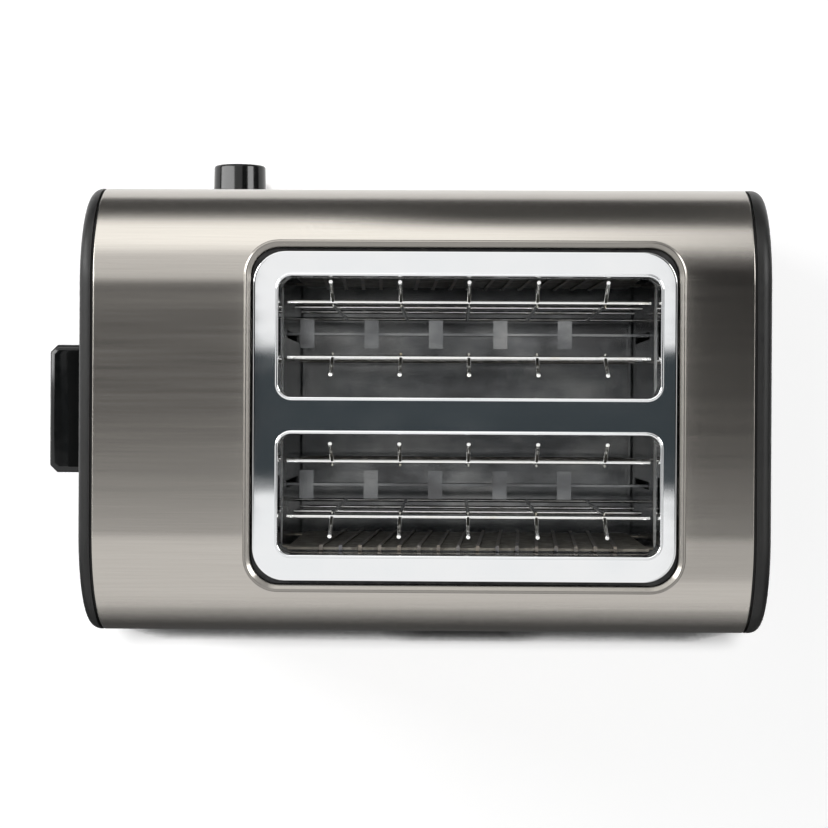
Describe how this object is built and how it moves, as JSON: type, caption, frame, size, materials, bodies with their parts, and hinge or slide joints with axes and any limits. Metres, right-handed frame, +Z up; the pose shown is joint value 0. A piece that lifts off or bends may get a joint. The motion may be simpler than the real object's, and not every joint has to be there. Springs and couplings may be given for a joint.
{
  "type": "toaster",
  "caption": "Pop-up bread toaster with a brushed steel wrap, chrome slot plate, dark end caps, push-down lever, browning knob, wire bread guards and a crumb tray.",
  "frame": {"origin": "on the table under the middle of the whole object's box, lever and knob included", "axes": "+X along the body towards the lever, -Y towards the front with the browning knob, +Z up"},
  "size_m": [0.2904, 0.2032, 0.1912],
  "materials": {
    "brushed_steel": "brushed along the length, warm grey",
    "chrome": "polished",
    "cap_grey": "satin dark grey",
    "gloss_black": "glossy black",
    "zinc_plate": "bright zinc-plated sheet",
    "nickel_wire": "bright nickel-plated wire",
    "mica": "mica card, silvery brown",
    "heater_ribbon": "oxidised resistance ribbon",
    "rubber": "matt black",
    "board": "green circuit board",
    "coil_tape": "taped copper winding",
    "pale_plastic": "off-white moulding"
  },
  "bodies": {
    "body": {"wrap_shell": "brushed_steel", "end_cap_lever_side": "cap_grey", "end_cap_plain_side": "cap_grey", "slot_plate": "chrome", "base_pan": "zinc_plate", "foot_1": "rubber", "foot_2": "rubber", "foot_3": "rubber", "foot_4": "rubber", "base_screw_1": "zinc_plate", "base_screw_2": "zinc_plate", "base_screw_3": "zinc_plate", "base_screw_4": "zinc_plate", "chamber_end_plate_lever_side": "zinc_plate", "chamber_end_plate_plain_side": "zinc_plate", "reflector_front": "zinc_plate", "reflector_rear": "zinc_plate", "heater_card_front": "mica", "heater_card_middle": "mica", "heater_card_rear": "mica", "heater_ribbon_front": "heater_ribbon", "heater_ribbon_middle": "heater_ribbon", "heater_ribbon_rear": "heater_ribbon", "guide_rod_front": "nickel_wire", "guide_rod_rear": "nickel_wire", "rod_bracket": "zinc_plate", "lift_spring": "nickel_wire", "magnet_core": "zinc_plate", "magnet_coil": "coil_tape", "control_board": "board", "browning_pot": "pale_plastic", "cancel_switch": "pale_plastic", "defrost_switch": "pale_plastic", "reheat_switch": "pale_plastic", "relay": "pale_plastic", "cord_gland": "rubber", "terminal_block": "pale_plastic"},
    "carriage": {"carriage": "zinc_plate", "lever_knob": "gloss_black", "front_slot_bread_rack": "zinc_plate", "rear_slot_bread_rack": "zinc_plate", "armature_plate": "zinc_plate"},
    "front_slot_front_guard": {"front_slot_front_guard": "nickel_wire"},
    "front_slot_rear_guard": {"front_slot_rear_guard": "nickel_wire"},
    "rear_slot_front_guard": {"rear_slot_front_guard": "nickel_wire"},
    "rear_slot_rear_guard": {"rear_slot_rear_guard": "nickel_wire"},
    "browning_dial": {"browning_knob": "gloss_black", "browning_shaft": "pale_plastic"},
    "cancel_button": {"cancel_button": "gloss_black"},
    "defrost_button": {"defrost_button": "gloss_black"},
    "reheat_button": {"reheat_button": "gloss_black"},
    "crumb_tray": {"crumb_tray": "zinc_plate"}
  },
  "joints": [
    {"name": "carriage_slide", "type": "slide", "parent": "body", "child": "carriage", "axis": [0, 0, -1], "range_m": [0, 0.062], "stiffness_N_per_m": 90, "springref_m": -0.04, "deforming": ["lift_spring"]},
    {"name": "front_slot_front_guard_hinge", "type": "hinge", "parent": "body", "child": "front_slot_front_guard", "pos_m": [-0.02675, -0.03385, 0.042], "axis": [1, 0, 0], "range_deg": [-2, 0]},
    {"name": "front_slot_rear_guard_hinge", "type": "hinge", "parent": "body", "child": "front_slot_rear_guard", "pos_m": [-0.02675, -0.01545, 0.042], "axis": [1, 0, 0], "range_deg": [0, 2]},
    {"name": "rear_slot_front_guard_hinge", "type": "hinge", "parent": "body", "child": "rear_slot_front_guard", "pos_m": [-0.02675, 0.03015, 0.042], "axis": [1, 0, 0], "range_deg": [-2, 0]},
    {"name": "rear_slot_rear_guard_hinge", "type": "hinge", "parent": "body", "child": "rear_slot_rear_guard", "pos_m": [-0.02675, 0.04855, 0.042], "axis": [1, 0, 0], "range_deg": [0, 2]},
    {"name": "browning_turn", "type": "hinge", "parent": "body", "child": "browning_dial", "pos_m": [0.07575, -0.08235, 0.06], "axis": [0, -1, 0], "range_deg": [-135, 135]},
    {"name": "cancel_press", "type": "slide", "parent": "body", "child": "cancel_button", "axis": [0, 1, 0], "range_m": [0, 0.0012], "stiffness_N_per_m": 200, "springref_m": -0.003},
    {"name": "defrost_press", "type": "slide", "parent": "body", "child": "defrost_button", "axis": [0, 1, 0], "range_m": [0, 0.0012], "stiffness_N_per_m": 200, "springref_m": -0.003},
    {"name": "reheat_press", "type": "slide", "parent": "body", "child": "reheat_button", "axis": [0, 1, 0], "range_m": [0, 0.0012], "stiffness_N_per_m": 200, "springref_m": -0.003},
    {"name": "crumb_tray_slide", "type": "slide", "parent": "body", "child": "crumb_tray", "axis": [0, 1, 0], "range_m": [0, 0.135]}
  ],
  "couplings": [
    {"joint": "front_slot_front_guard_hinge", "follows": "carriage_slide", "rad_per_m": -0.56},
    {"joint": "front_slot_rear_guard_hinge", "follows": "carriage_slide", "rad_per_m": 0.56},
    {"joint": "rear_slot_front_guard_hinge", "follows": "carriage_slide", "rad_per_m": -0.56},
    {"joint": "rear_slot_rear_guard_hinge", "follows": "carriage_slide", "rad_per_m": 0.56}
  ]
}
